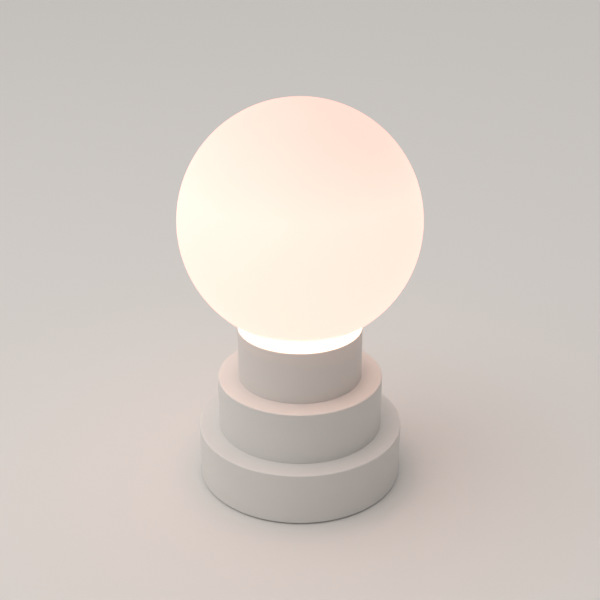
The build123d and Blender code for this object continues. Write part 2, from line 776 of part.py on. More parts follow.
with BuildPart() as switch_plunger:
    with BuildSketch(across(plunger_tip_y)):
        with Locations((button_offset, panel_z)):
            Circle(plunger_diameter / 2)
    extrude(amount=plunger_reach + plunger_inside)

# Circuit board: upright behind the panel, screwed to its posts
with BuildPart() as circuit_board:
    with BuildSketch(across(board_y)):
        with Locations((0, panel_z)):
            Rectangle(board_width, board_height)
        with Locations((-post_x, panel_z), (post_x, panel_z)):
            Circle(board_screw / 2 + seat_gap, mode=Mode.SUBTRACT)
    extrude(amount=-board_thickness)

with BuildPart() as circuit_board_screws:
    board_screw_part = pan_screw(board_screw, board_screw_length)
    with Locations((-post_x, board_y, panel_z), (post_x, board_y, panel_z)):
        add(board_screw_part, rotation=head_front)

with BuildPart() as charging_socket:
    with BuildSketch(across(board_back_y)):
        with Locations((0, panel_z)):
            SlotOverall(usb_width, usb_height)
            SlotOverall(usb_width - 2 * usb_wall, usb_height - 2 * usb_wall, mode=Mode.SUBTRACT)
    extrude(amount=-usb_length)

with BuildPart() as socket_tongue:
    with BuildSketch(across(board_back_y)):
        with Locations((0, panel_z)):
            SlotOverall(usb_width - 2 * usb_wall - 2 * seat_gap, usb_height - 2 * usb_wall - 2 * seat_gap)
    extrude(amount=-usb_block)
    with BuildSketch(across(board_back_y)):
        with Locations((0, panel_z)):
            Rectangle(usb_tongue_width, usb_tongue_height)
    extrude(amount=-usb_tongue_length)

with BuildPart() as indicator_led:
    with BuildSketch(across(board_back_y)):
        with Locations((-indicator_offset, panel_z)):
            Rectangle(indicator_size, indicator_size)
    extrude(amount=-indicator_height)

with BuildPart() as light_pipe:
    light_pipe_y = board_back_y + indicator_height + seat_gap
    with BuildSketch(across(light_pipe_y)):
        with Locations((-indicator_offset, panel_z)):
            Circle(light_pipe_diameter / 2)
    extrude(amount=light_pipe_y - bottom_r)
    Cylinder(bottom_r, trim_height, mode=Mode.INTERSECT)
    with BuildSketch(across(light_pipe_y)):
        with Locations((-indicator_offset, panel_z)):
            Circle(light_pipe_collar / 2)
    extrude(amount=light_pipe_y - flange_y)


def header_shell(z):
    """A pin header's open shroud on the front of the circuit board."""
    with BuildPart() as shell:
        with BuildSketch(across(board_y)):
            with Locations((0, z)):
                Rectangle(header_width, header_height)
        extrude(amount=header_depth)
        with BuildSketch(across(header_y)):
            with Locations((0, z)):
                Rectangle(header_width - 2 * header_wall, header_height - 2 * header_wall)
        extrude(amount=header_floor - header_depth, mode=Mode.SUBTRACT)
    return shell


def header_plug(z):
    """The plug in a header, with two holes for its leads."""
    with BuildPart() as plug:
        with BuildSketch(across(plug_y)):
            with Locations((0, z)):
                side = 2 * (header_wall + seat_gap)
                Rectangle(header_width - side, header_height - side)
        extrude(amount=plug_y - board_y + header_floor + seat_gap)
        with BuildSketch(across(plug_y)):
            with Locations((-lead_pitch / 2, z), (lead_pitch / 2, z)):
                Circle(lead_r + seat_gap)
        extrude(amount=-lead_grip - seat_gap, mode=Mode.SUBTRACT)
    return plug


battery_header = header_shell(battery_plug_z)
battery_plug = header_plug(battery_plug_z)
led_header = header_shell(led_plug_z)
led_plug = header_plug(led_plug_z)

with BuildPart() as power_coil:
    coil_x = header_width / 2 + chip_margin + coil_diameter / 2
    with BuildSketch(across(board_y)):
        with Locations((-coil_x, panel_z)):
            Circle(coil_diameter / 2)
    extrude(amount=coil_height)
    fillet(power_coil.edges().group_by(Axis.Y)[0], coil_edge)

with BuildPart() as board_chips:
    chip_x = header_width / 2 + chip_margin + driver_chip / 2
    with BuildSketch(across(board_y)):
        with Locations((chip_x, panel_z + (chip_gap + driver_chip) / 2)):
            Rectangle(driver_chip, driver_chip)
        with Locations((chip_x, panel_z - (chip_gap + charger_chip) / 2)):
            Rectangle(charger_chip, charger_chip)
    extrude(amount=chip_height)

# Battery: two cells in clip cradles on the base plate, left and right of the ballast
with BuildPart() as battery_cells:
    with BuildSketch(across(cell_front_y)):
        with Locations((-cell_x, cell_z), (cell_x, cell_z)):
            Circle(cell_r)
    extrude(amount=-cell_length)
    fillet(battery_cells.edges().filter_by(GeomType.CIRCLE), edge_radius)

with BuildPart() as cell_cradles:
    cradle_top_z = cell_z + cradle_grip
    cradle_middle_z = (plate_top_z + cradle_top_z) / 2
    with BuildSketch(across(cell_front_y + cradle_end)):
        with Locations((-cell_x, cradle_middle_z), (cell_x, cradle_middle_z)):
            Rectangle(2 * cradle_half, cradle_top_z - plate_top_z)
        with Locations((-cell_x, cell_z), (cell_x, cell_z)):
            Circle(cell_r + slide_gap, mode=Mode.SUBTRACT)
    extrude(amount=2 * cradle_end - cell_length)

with BuildPart() as cell_tabs:
    tab_ys = (cell_front_y - tab_thickness / 2, cell_back_y + tab_thickness / 2)
    spots = [(x, y, cell_z) for x in (-cell_x, cell_x) for y in tab_ys]
    with Locations(*spots):
        Box(tab_width, tab_thickness, tab_height)

# Leads: the cells in series across the front, and from the back of the cells to the board
link_end_x = cell_x + lead_overlap
with BuildPart() as cell_link_lead:
    link_front = (0, link_y - link_sag, cell_z)
    add(lead_tube([(-link_end_x, link_y, cell_z), link_front, (link_end_x, link_y, cell_z)], link_bend))


def battery_lead(side):
    """A lead from a cell's back tab to the battery plug: side is -1 on the left, 1 on the right."""
    pin_x = side * lead_pitch / 2
    return lead_tube(
        [
            (side * link_end_x, lead_y, cell_z),
            (pin_x, lead_y + lead_slack, battery_plug_z),
            (pin_x, plug_y + lead_grip, battery_plug_z),
        ],
        battery_lead_run * battery_lead_bend_share,
    )


with BuildPart() as battery_positive_lead:
    add(battery_lead(-1))

with BuildPart() as battery_negative_lead:
    add(battery_lead(1))


def led_lead(side):
    """A lead from the LED plug to the lamp's axis and up to a soldered end on the LED board."""
    x = side * lead_pitch / 2
    return lead_tube(
        [(x, plug_y + lead_grip, led_plug_z), (x, 0, led_plug_z), (x, 0, led_top_z)],
        led_lead_bend,
    )


with BuildPart() as led_positive_lead:
    add(led_lead(-1))
    with BuildSketch(level(led_top_z)):
        with Locations((-lead_pitch / 2, 0)):
            Circle(solder_diameter / 2)
    extrude(amount=solder_height)

with BuildPart() as led_negative_lead:
    add(led_lead(1))
    with BuildSketch(level(led_top_z)):
        with Locations((lead_pitch / 2, 0)):
            Circle(solder_diameter / 2)
    extrude(amount=solder_height)

# Grommet: lips above and below the bottom tier's top plate
with BuildPart() as lead_grommet:
    with BuildSketch(level(ceiling_z - grommet_lip)):
        Circle(grommet_hole / 2 + grommet_lip)
    extrude(amount=grommet_lip)
    with BuildSketch(level(ceiling_z)):
        Circle(grommet_hole / 2)
    extrude(amount=tier_plate)
    with BuildSketch(level(bottom_top_z)):
        Circle(grommet_hole / 2 + grommet_lip)
    extrude(amount=grommet_lip)
    with BuildSketch(level(ceiling_z - grommet_lip)):
        Circle(grommet_bore / 2)
    extrude(amount=tier_plate + 2 * grommet_lip, mode=Mode.SUBTRACT)

pieces = {
    "globe": globe,
    "globe_gasket": globe_gasket,
    "bayonet_ring": bayonet_ring,
    "bayonet_screws": bayonet_screws,
    "top_tier": top_tier,
    "top_tier_screws": top_tier_screws,
    "middle_tier": middle_tier,
    "middle_tier_screws": middle_tier_screws,
    "bottom_tier": bottom_tier,
    "base_plate": base_plate,
    "base_screws": base_screws,
    "base_seal": base_seal,
    "foot_pads": foot_pads,
    "ballast_block": ballast_block,
    "ballast_screws": ballast_screws,
    "heat_sink": heat_sink,
    "heat_sink_screws": heat_sink_screws,
    "led_board": led_board,
    "led_board_screws": led_board_screws,
    "led_chips": led_chips,
    "led_dome": led_dome,
    "rear_panel": rear_panel,
    "rear_panel_screws": rear_panel_screws,
    "port_cover": port_cover,
    "power_button": power_button,
    "button_ring": button_ring,
    "switch_body": switch_body,
    "switch_plunger": switch_plunger,
    "circuit_board": circuit_board,
    "circuit_board_screws": circuit_board_screws,
    "charging_socket": charging_socket,
    "socket_tongue": socket_tongue,
    "indicator_led": indicator_led,
    "light_pipe": light_pipe,
    "battery_header": battery_header,
    "battery_plug": battery_plug,
    "led_header": led_header,
    "led_plug": led_plug,
    "power_coil": power_coil,
    "board_chips": board_chips,
    "battery_cells": battery_cells,
    "cell_cradles": cell_cradles,
    "cell_tabs": cell_tabs,
    "cell_link_lead": cell_link_lead,
    "battery_positive_lead": battery_positive_lead,
    "battery_negative_lead": battery_negative_lead,
    "led_positive_lead": led_positive_lead,
    "led_negative_lead": led_negative_lead,
    "lead_grommet": lead_grommet,
}

os.makedirs("parts", exist_ok=True)
for name, piece in pieces.items():
    piece.part.label = name
    export_step(piece.part, f"parts/{name}.step")

print(f"cover pivot y {pivot_y:.3f} z {pivot_z:.3f}, button x {button_offset:.3f} z {panel_z:.3f}")
print(f"button shoulder y {button_shoulder_y:.3f}, pocket y {pocket_y:.3f} to {cover_y - cover_rib:.3f}")
print(f"globe centre z {globe_z:.3f}, lamp height {globe_z + globe_r:.3f}, dome top z {dome_top_z:.3f}")
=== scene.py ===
# %% [markdown]
# # A cordless globe lamp
# An opal globe glows on a white base of three round steps. Its solids come from CAD and are loaded as a
# fixed frame, so every piece here goes where the CAD says, in metres. The lesson sets the camera, makes
# the finishes, rebuilds the pieces whose edges catch the light, and ends with a plain studio.

# %% Load the lamp's solids
import math

import bpy
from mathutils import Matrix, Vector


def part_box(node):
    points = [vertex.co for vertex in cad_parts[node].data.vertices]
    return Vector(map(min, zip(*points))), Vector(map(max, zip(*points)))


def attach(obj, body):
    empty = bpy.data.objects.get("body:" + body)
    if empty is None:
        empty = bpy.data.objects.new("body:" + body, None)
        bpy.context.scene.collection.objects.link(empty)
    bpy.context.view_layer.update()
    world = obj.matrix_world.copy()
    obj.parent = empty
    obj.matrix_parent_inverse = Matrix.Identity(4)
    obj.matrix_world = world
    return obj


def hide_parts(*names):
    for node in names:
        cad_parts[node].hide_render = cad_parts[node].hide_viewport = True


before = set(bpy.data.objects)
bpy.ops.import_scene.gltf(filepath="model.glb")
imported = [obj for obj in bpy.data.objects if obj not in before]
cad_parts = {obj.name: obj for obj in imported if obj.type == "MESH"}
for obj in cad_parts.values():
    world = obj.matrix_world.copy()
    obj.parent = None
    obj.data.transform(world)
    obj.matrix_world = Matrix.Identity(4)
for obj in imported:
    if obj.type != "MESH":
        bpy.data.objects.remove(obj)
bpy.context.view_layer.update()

MM = 0.001
scene = bpy.context.scene

# %% [markdown]
# ## Camera
# The photograph looks down on the lamp a little, from the front. A camera can be set by eye, but a small
# error in its tilt shows in every rim. This one was fitted to the outlines of the globe and the three
# steps, which gave its place, tilt and lens, with no shift.

# %% Camera
camera_place = (0.0, -0.5858, 0.3914)
camera_tilt = 65.408  # degrees: 0 looks straight down, 90 is level
lens = bpy.data.cameras.new("camera")
lens.sensor_width = 36.0
lens.lens = 61.18
camera = bpy.data.objects.new("camera", lens)
camera.location = camera_place
camera.rotation_euler = (math.radians(camera_tilt), 0.0, 0.0)
scene.collection.objects.link(camera)
scene.camera = camera
print("camera looks down by", round(90.0 - camera_tilt, 2), "degrees")

# %% [markdown]
# ## Nodes and colours
# Every finish and every node tree below is a set of linked nodes. Writing each node out takes many lines,
# so one small function adds a node, sets its options and inputs and links it. Colours are written as sRGB
# hex codes, as a colour picker shows them, and one function turns them to the linear values that shaders
# use.

# %% Node and colour helpers
def put(tree, kind, values=None, links=None, **options):
    """Adds a node: options are its own settings, values its fixed inputs, links its fed inputs."""
    node = tree.nodes.new(kind)
    for name, value in options.items():
        setattr(node, name, value)
    for socket, value in (values or {}).items():
        node.inputs[socket].default_value = value
    for socket, source in (links or {}).items():
        tree.links.new(source, node.inputs[socket])
    return node


def ink(code):
    """An sRGB hex colour as linear RGBA."""
    parts = [int(code[i : i + 2], 16) / 255 for i in (1, 3, 5)]
    return [c / 12.92 if c <= 0.04045 else ((c + 0.055) / 1.055) ** 2.4 for c in parts] + [1.0]


print("mid grey in linear light:", [round(c, 3) for c in ink("#808080")])

# %% [markdown]
# ## A surface with a grain
# Sprayed, moulded, cast and plated surfaces have the same three things at different sizes: a fine relief,
# a sheen that varies with it, and a colour that drifts a little from place to place. Painted maps could
# show them, but noise on Object coordinates needs no files and no unwrapping. One recipe draws them, with
# every size in millimetres, so that each finish below is a short list of what sets it apart. A Mix node
# in colour mode keeps its colours on sockets 6 and 7.

# %% Recipe for a grained surface
finishes = {}
noise_range = {"From Min": 0.3, "From Max": 0.7}  # most values of a Noise texture lie between these


def bare(name):
    """A new material with its node tree, its shader and the Object coordinates."""
    material = bpy.data.materials.new(name)
    material.use_nodes = True
    tree = material.node_tree
    place = put(tree, "ShaderNodeTexCoord").outputs["Object"]
    return material, tree, tree.nodes["Principled BSDF"], place


def grained(name, colours, drift_mm, grain_mm, relief_mm, rough, **fixed):
    """A finish that drifts between two colours, with a relief of that grain and a range of roughness."""
    material, tree, shader, place = bare(name)
    clouds = put(tree, "ShaderNodeTexNoise", {"Scale": 1 / (drift_mm * MM), "Detail": 3.0},
                 {"Vector": place})
    tint = put(tree, "ShaderNodeMix", {6: ink(colours[0]), 7: ink(colours[1])},
               {0: clouds.outputs["Fac"]}, data_type="RGBA")
    grain = put(tree, "ShaderNodeTexNoise", {"Scale": 1 / (grain_mm * MM), "Detail": 2.0},
                {"Vector": place})
    sheen = put(tree, "ShaderNodeMapRange", {**noise_range, "To Min": rough[0], "To Max": rough[1]},
                {"Value": grain.outputs["Fac"]})
    relief = put(tree, "ShaderNodeBump", {"Distance": relief_mm * MM}, {"Height": grain.outputs["Fac"]})
    tree.links.new(tint.outputs[2], shader.inputs["Base Color"])
    tree.links.new(sheen.outputs["Result"], shader.inputs["Roughness"])
    tree.links.new(relief.outputs["Normal"], shader.inputs["Normal"])
    for socket, value in fixed.items():
        shader.inputs[socket.replace("_", " ")].default_value = value
    return material


print("grain recipe ready, noise range:", noise_range)

# %% [markdown]
# ## White powder coat
# The three steps are aluminium cups that were sprayed with a dry paint and baked. The powder melts into a
# satin skin with a faint orange peel of about 2.5 mm, which softens the reflections without showing as
# texture. A flat white would do from afar, but the peel keeps the highlights from looking ruled. The
# steel base plate has the same paint, a little greyer and rougher on its underside.

# %% Powder coats
# Satin white: soft broad highlights, and a thin bright line wherever an edge is rounded.
finishes["white_powder_coat"] = grained(
    "white satin powder coat", ("#E4E1DC", "#DEDBD7"), 45, 2.5, 0.04, (0.34, 0.46), IOR=1.5)
# The underside's coat: thinner and drier, so flatter to the eye.
finishes["coated_plate"] = grained(
    "white powder coat on steel", ("#DAD7D2", "#D2CFCA"), 30, 1.6, 0.05, (0.45, 0.6), IOR=1.5)
print("powder coats:", [finishes[name].name for name in ("white_powder_coat", "coated_plate")])

# %% [markdown]
# ## Opal globe
# The globe is blown from milky polycarbonate with a dull satin skin, and LEDs in its neck light it from
# inside. Real scattering inside a thin shell takes many light bounces and is noisy, so the shell here
# gives off light itself. A colour ramp on the height says how much: most in a ring at the neck, close to
# the LEDs, then almost even over the ball, and less and pinker towards the crown, as the milky wall
# swallows blue first.

# %% Opal polycarbonate
def opal_wall(name, strength, rim, glow):
    """Milky plastic lit from inside. The glow lists heights above the rim, in mm from 0, and colours."""
    material, tree, shader, place = bare(name)
    reach = glow[-1][0]
    height = put(tree, "ShaderNodeSeparateXYZ", None, {0: place})
    share = put(tree, "ShaderNodeMapRange", {"From Min": rim, "From Max": rim + reach * MM},
                {"Value": height.outputs["Z"]})
    ramp = put(tree, "ShaderNodeValToRGB", None, {0: share.outputs["Result"]})
    while len(ramp.color_ramp.elements) < len(glow):
        ramp.color_ramp.elements.new(0.5)
    for element, (level, code) in zip(ramp.color_ramp.elements, glow):
        element.position = level / reach
        element.color = ink(code)
    # The milk in the plastic is not quite even: clouds of about 30 mm, hardly seen.
    clouds = put(tree, "ShaderNodeTexNoise", {"Scale": 1 / (30 * MM), "Detail": 2.0}, {"Vector": place})
    milk = put(tree, "ShaderNodeMix", {6: ink("#BDB7AF"), 7: ink("#B5AFA7")}, {0: clouds.outputs["Fac"]},
               data_type="RGBA")
    # The satin skin's own grain is under 0.1 mm. It is drawn at 1.2 mm so that it shows.
    skin = put(tree, "ShaderNodeTexNoise", {"Scale": 1 / (1.2 * MM)}, {"Vector": place})
    sheen = put(tree, "ShaderNodeMapRange", {**noise_range, "To Min": 0.54, "To Max": 0.64},
                {"Value": skin.outputs["Fac"]})
    tree.links.new(milk.outputs[2], shader.inputs["Base Color"])
    tree.links.new(sheen.outputs["Result"], shader.inputs["Roughness"])
    tree.links.new(ramp.outputs["Color"], shader.inputs["Emission Color"])
    shader.inputs["Emission Strength"].default_value = strength
    shader.inputs["IOR"].default_value = 1.58
    shader.inputs["Specular IOR Level"].default_value = 0.25
    return material


print("opal recipe ready")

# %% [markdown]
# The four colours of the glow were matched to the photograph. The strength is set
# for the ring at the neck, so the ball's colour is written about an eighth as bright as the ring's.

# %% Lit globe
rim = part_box("top_tier")[1].z
crown_height = (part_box("globe")[1].z - rim) / MM
neck_glow, neck_edge, ball_glow, crown_glow = "#F5CDB4", "#7F625B", "#6A4C46", "#5B3C36"
# Lit opal: an even warm disc with no hot spot, and a bright ring where it meets the base.
finishes["opal_globe"] = opal_wall("opal polycarbonate lit from inside", 9.0, rim, (
    (0.0, neck_glow), (5.0, neck_glow), (8.5, neck_edge), (14.0, ball_glow), (94.0, ball_glow),
    (crown_height, crown_glow)))
print("globe finish:", finishes["opal_globe"].name, "over", round(crown_height, 1), "mm")

# %% [markdown]
# ## Moulded plastics and rubbers
# The small pieces come from moulds. ABS and black plastic copy the spark-eroded grain of the steel mould,
# nylon looks waxy, silicone is soft and dull, and rubber has a dry bloom on black. Each could have nodes
# of its own, but the grain recipe fits them all. Their real grain is 0.05 to 0.3 mm, too fine for the
# picture, so it is drawn coarser, at 0.5 to 1 mm.

# %% Plastics
before = len(finishes)
# White ABS: matt, a touch warmer than the paint around it.
finishes["white_plastic"] = grained(
    "white moulded ABS", ("#E0DDD7", "#D8D5CF"), 12, 0.8, 0.04, (0.42, 0.58), IOR=1.53)
# Black glass-filled plastic: fine sparkle of fibres in a grey sheen.
finishes["black_plastic"] = grained(
    "black moulded plastic", ("#1D1D1F", "#29292B"), 3, 0.5, 0.03, (0.4, 0.6), IOR=1.55)
# The switch's pin: acetal, smooth and a little translucent to the eye.
finishes["switch_white"] = grained(
    "white acetal", ("#DDDCD8", "#D2D1CC"), 3, 0.6, 0.01, (0.32, 0.42), IOR=1.48)
# Nylon: cream and waxy.
finishes["nylon_white"] = grained(
    "natural nylon", ("#E2DCCB", "#D6CFBC"), 4, 0.6, 0.02, (0.36, 0.5), IOR=1.53)
# Shrink film on the cells: blue, glossy, with the faint waves that shrinking leaves.
finishes["cell_wrap"] = grained(
    "blue shrink film", ("#2F5F94", "#27527F"), 15, 6.0, 0.15, (0.22, 0.34), IOR=1.54)
print("plastics:", len(finishes) - before)

# %% Rubbers
before = len(finishes)
# Silicone: dull and slightly cloudy.
finishes["grey_silicone"] = grained(
    "grey silicone", ("#C2C2C0", "#B6B6B4"), 6, 1.0, 0.03, (0.55, 0.7), IOR=1.41)
# Rubber: black with a grey bloom, no highlights.
finishes["black_rubber"] = grained(
    "black nitrile rubber", ("#262626", "#353432"), 5, 0.9, 0.06, (0.68, 0.85), IOR=1.52)
# Lead insulation: soft satin silicone, one red and one black.
finishes["red_insulation"] = grained(
    "red silicone insulation", ("#B5221C", "#9E1B17"), 6, 0.7, 0.02, (0.42, 0.55))
finishes["black_insulation"] = grained(
    "black silicone insulation", ("#222224", "#2E2E30"), 6, 0.7, 0.02, (0.42, 0.55))
print("rubbers:", len(finishes) - before)

# %% [markdown]
# ## Metals
# Screws and ballast are zinc plated, a bluish grey with straw-coloured clouds. The cell tabs and the
# socket's shell are nickel plated, warmer and brighter. The heat sink is turned from bar, and the tool
# leaves fine rings round its axis, which draw its highlights out sideways. An anisotropic shader could
# stretch them too, but a Wave texture in rings also shows the rings themselves.

# %% Plated and sintered metals
# Zinc: clouded, half-dull metal.
finishes["zinc_steel"] = grained(
    "zinc plated steel", ("#AFB5BF", "#C4C0B4"), 3, 0.6, 0.01, (0.26, 0.42), Metallic=1.0)
# Nickel: clean bright metal with a warm cast.
finishes["nickel"] = grained(
    "nickel plated steel", ("#CBC7BE", "#BEBAB2"), 4, 0.6, 0.004, (0.16, 0.28), Metallic=1.0)
# Ferrite: sintered powder, dull dark grey with a stony speckle.
finishes["ferrite"] = grained("sintered ferrite", ("#37373A", "#46464A"), 0.8, 0.5, 0.05, (0.5, 0.7))
print("metals:", [finishes[name].name for name in ("zinc_steel", "nickel", "ferrite")])

# %% Turned metal
def turned(name, colours, pitch_mm, relief_mm):
    """Bare metal with tool rings round Z. A wave repeats every pi / 10 / scale."""
    material, tree, shader, place = bare(name)
    rings = put(tree, "ShaderNodeTexWave", {"Scale": math.pi / 10 / (pitch_mm * MM), "Distortion": 1.5},
                {"Vector": place}, wave_type="RINGS", rings_direction="Z")
    tint = put(tree, "ShaderNodeMix", {6: ink(colours[0]), 7: ink(colours[1])}, {0: rings.outputs["Fac"]},
               data_type="RGBA")
    sheen = put(tree, "ShaderNodeMapRange", {"To Min": 0.24, "To Max": 0.36},
                {"Value": rings.outputs["Fac"]})
    relief = put(tree, "ShaderNodeBump", {"Distance": relief_mm * MM}, {"Height": rings.outputs["Fac"]})
    tree.links.new(tint.outputs[2], shader.inputs["Base Color"])
    tree.links.new(sheen.outputs["Result"], shader.inputs["Roughness"])
    tree.links.new(relief.outputs["Normal"], shader.inputs["Normal"])
    shader.inputs["Metallic"].default_value = 1.0
    return material


# Turned aluminium: pale metal with fine rings. The tool's 0.15 mm feed is drawn at 0.5 mm.
finishes["bare_aluminium"] = turned("turned aluminium", ("#D9DADC", "#CCCDD0"), 0.5, 0.01)
print("turned metal:", finishes["bare_aluminium"].name)

# %% [markdown]
# ## Circuit boards
# A solder mask is a coloured lacquer over copper. Where copper lies under it the colour is lighter, and
# the gaps between the copper areas show as darker lines. Every track could be drawn, but the boards are
# shut away in the base, so a Brick texture at the size of real copper areas is enough. It draws in the XY
# plane, so a Mapping node turns it for the board that stands up.

# %% Solder masks
copper_width, copper_height, copper_gap, copper_thickness = 7 * MM, 2.5 * MM, 0.35 * MM, 0.035 * MM


def masked(name, over_copper, over_laminate, turn):
    """Lacquer over copper areas with gaps between them, turned round X to lie in the board."""
    material, tree, shader, place = bare(name)
    lie = put(tree, "ShaderNodeMapping", {"Rotation": (turn, 0.0, 0.0)}, {"Vector": place})
    fills = put(tree, "ShaderNodeTexBrick",
                {"Color1": ink(over_copper[0]), "Color2": ink(over_copper[1]), "Mortar": ink(over_laminate),
                 "Scale": 1.0, "Mortar Size": copper_gap / 2, "Brick Width": copper_width,
                 "Row Height": copper_height}, {"Vector": lie.outputs["Vector"]})
    relief = put(tree, "ShaderNodeBump", {"Distance": copper_thickness}, {"Height": fills.outputs["Fac"]},
                 invert=True)
    sheen = put(tree, "ShaderNodeMapRange", {"To Min": 0.28, "To Max": 0.4},
                {"Value": fills.outputs["Fac"]})
    tree.links.new(fills.outputs["Color"], shader.inputs["Base Color"])
    tree.links.new(sheen.outputs["Result"], shader.inputs["Roughness"])
    tree.links.new(relief.outputs["Normal"], shader.inputs["Normal"])
    return material


# Green mask: glossy lacquer, two greens.
finishes["board_green"] = masked("green solder mask", ("#1F6B43", "#1B6440"), "#14492F", math.pi / 2)
# White mask: almost even, so that the LED board throws its light forward.
finishes["board_white"] = masked("white solder mask", ("#ECECE8", "#E8E8E4"), "#DCDCD6", 0.0)
print("boards:", finishes["board_green"].name, "and", finishes["board_white"].name)

# %% [markdown]
# ## Clear plastic and lit phosphor
# The dome over the LEDs and the small light pipe in the rear panel are clear polycarbonate, which bends
# light strongly (IOR 1.58). Glass-smooth plastic would show an image of the LED. The mould leaves a fine
# satin on it, so that the light behind shows as an even dot. The LED chips are blue dies under a yellow
# phosphor gel that glows warm white, so the grain recipe gets an emission.

# %% Clear and glowing finishes
# Clear plastic with a satin skin: a soft glow, with flow marks of about 3 mm in its gloss.
clear, tree, shader, place = bare("clear satin polycarbonate")
flow = put(tree, "ShaderNodeTexNoise", {"Scale": 1 / (3 * MM), "Distortion": 1.0}, {"Vector": place})
sheen = put(tree, "ShaderNodeMapRange", {"To Min": 0.26, "To Max": 0.4}, {"Value": flow.outputs["Fac"]})
tree.links.new(sheen.outputs["Result"], shader.inputs["Roughness"])
shader.inputs["Base Color"].default_value = ink("#F1F4F5")
shader.inputs["Transmission Weight"].default_value = 1.0
shader.inputs["IOR"].default_value = 1.58
finishes["clear_plastic"] = clear
# Phosphor: yellow gel with grains of about 0.3 mm, lit from within.
finishes["led_phosphor"] = grained(
    "lit yellow phosphor", ("#F2D27A", "#E8C25E"), 0.6, 0.3, 0.02, (0.3, 0.45),
    Emission_Color=ink("#FFD9A0"), Emission_Strength=6.0)

# %% [markdown]
# ## Finishes onto the solids
# The CAD solids come in with one plain material each, named after its place in the record. Their shapes
# are right, so they stay, and each plain material is swapped for the finish of the same name.

# %% Dress the solids
coats = [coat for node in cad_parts.values() for coat in node.material_slots]
for coat in coats:
    coat.material = finishes[coat.material.name]
print("dressed:", sorted({coat.material.name for coat in coats}))

# %% [markdown]
# ## Geometry Nodes: a small lathe
# The steps and the pads of the base are turned shapes. A Screw modifier turns a profile too, but the two
# trees below need the turning among other nodes, so a node group does it: Curve to Mesh sweeps the
# profile along a tiny circle round the Z axis. The sweep draws a profile's second axis downwards, so half
# a turn round X stands the result up. Merging the doubles closes the poles of a profile that meets the
# axis.

# %% Lathe group
core = 1 * MM  # radius of the tiny circle
weld = 0.001 * MM  # vertices closer than this are one


def new_tree(name, inputs):
    """A node tree with those named inputs, and its two end nodes."""
    tree = bpy.data.node_groups.new(name, "GeometryNodeTree")
    for label, kind in inputs:
        tree.interface.new_socket(label, in_out="INPUT", socket_type="NodeSocket" + kind)
    tree.interface.new_socket("Geometry", in_out="OUTPUT", socket_type="NodeSocketGeometry")
    return tree, put(tree, "NodeGroupInput").outputs, put(tree, "NodeGroupOutput").inputs


lathe, given, result = new_tree("lathe", [("Profile", "Geometry"), ("Segments", "Int")])
inset = put(lathe, "GeometryNodeTransform", {"Translation": (-core, 0.0, 0.0)},
            {"Geometry": given["Profile"]})
ring = put(lathe, "GeometryNodeCurvePrimitiveCircle", {"Radius": core}, {"Resolution": given["Segments"]})
sweep = put(lathe, "GeometryNodeCurveToMesh", None,
            {"Curve": ring.outputs["Curve"], "Profile Curve": inset.outputs["Geometry"]})
upright = put(lathe, "GeometryNodeTransform", {"Rotation": (math.pi, 0.0, 0.0)},
              {"Geometry": sweep.outputs["Mesh"]})
closed = put(lathe, "GeometryNodeMergeByDistance", {"Distance": weld},
             {"Geometry": upright.outputs["Geometry"]})
lathe.links.new(closed.outputs["Geometry"], result["Geometry"])
print("lathe nodes:", len(lathe.nodes))

# %% [markdown]
# ## From a tree to a plain piece
# The mesh that a modifier starts from holds the places where something repeats, one loose vertex for
# each, and an attribute says how wide a hole to drill there, or 0 for none. The modifier's inputs are set
# by their identifiers before anything evaluates the object. The result then becomes a plain mesh and the
# modifier goes, so that the piece exports as it looks.

# %% Make a piece
def make_piece(name, tree, spots, settings):
    """A plain mesh object from a tree, whose Geometry input gets the spots as vertices with a bore."""
    seed = bpy.data.meshes.new(name)
    seed.from_pydata([place for place, bore in spots], [], [])
    bores = seed.attributes.new("bore", "FLOAT", "POINT")
    bores.data.foreach_set("value", [bore for place, bore in spots])
    piece = bpy.data.objects.new(name, seed)
    scene.collection.objects.link(piece)
    shape = piece.modifiers.new("shape", "NODES")
    shape.node_group = tree
    for socket in tree.interface.items_tree:
        if socket.in_out == "INPUT" and socket.name in settings:
            shape[socket.identifier] = settings[socket.name]
    graph = bpy.context.evaluated_depsgraph_get()
    made = piece.evaluated_get(graph)
    mesh = bpy.data.meshes.new_from_object(made, preserve_all_data_layers=True, depsgraph=graph)
    mesh.attributes.remove(mesh.attributes["bore"])
    piece.modifiers.clear()
    piece.data = mesh
    mesh.name = name
    return piece


print("a piece starts from loose vertices with the attribute bore")

# %% [markdown]
# The CAD solids already know where screws and pads stand. Typing those places again would let them drift
# apart, so they are read from the frame: the vertices of a node are gathered into heaps, one for each of
# its repeated solids, and the middle of each heap is a place.

# %% Find where things repeat
heap_reach = 15 * MM  # wider than any one screw or pad, and less than the distance between two


def spots_of(node, height_mm=0.0, bore_mm=0.0):
    """The middles of a node's repeated solids, seen from above, at that height and with that bore."""
    heaps = []
    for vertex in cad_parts[node].data.vertices:
        spot = (vertex.co.x, vertex.co.y)
        near = [heap for heap in heaps if math.dist(heap[0], spot) < heap_reach]
        if near:
            near[0].append(spot)
        else:
            heaps.append([spot])
    spots = []
    for heap in heaps:
        xs, ys = zip(*heap)
        place = ((min(xs) + max(xs)) / 2, (min(ys) + max(ys)) / 2, height_mm * MM)
        spots.append((place, bore_mm * MM))
    return spots


for place, bore in spots_of("foot_pads"):
    print("foot pad at (mm):", [round(side / MM, 1) for side in place[:2]])

# %% [markdown]
# ## The stepped base
# Each step is the same cup at another size: a wall, a flat top with a round mouth, a rounded top edge
# that draws the thin bright line in the photograph, a small bevel at the foot that makes the joint a fine
# shadow, and screw bosses inside. The solids could be shown as they are, but one tree gives all three
# clean rings of faces and edges that catch the light. The cup's profile has six corners, each with its
# own rounding.

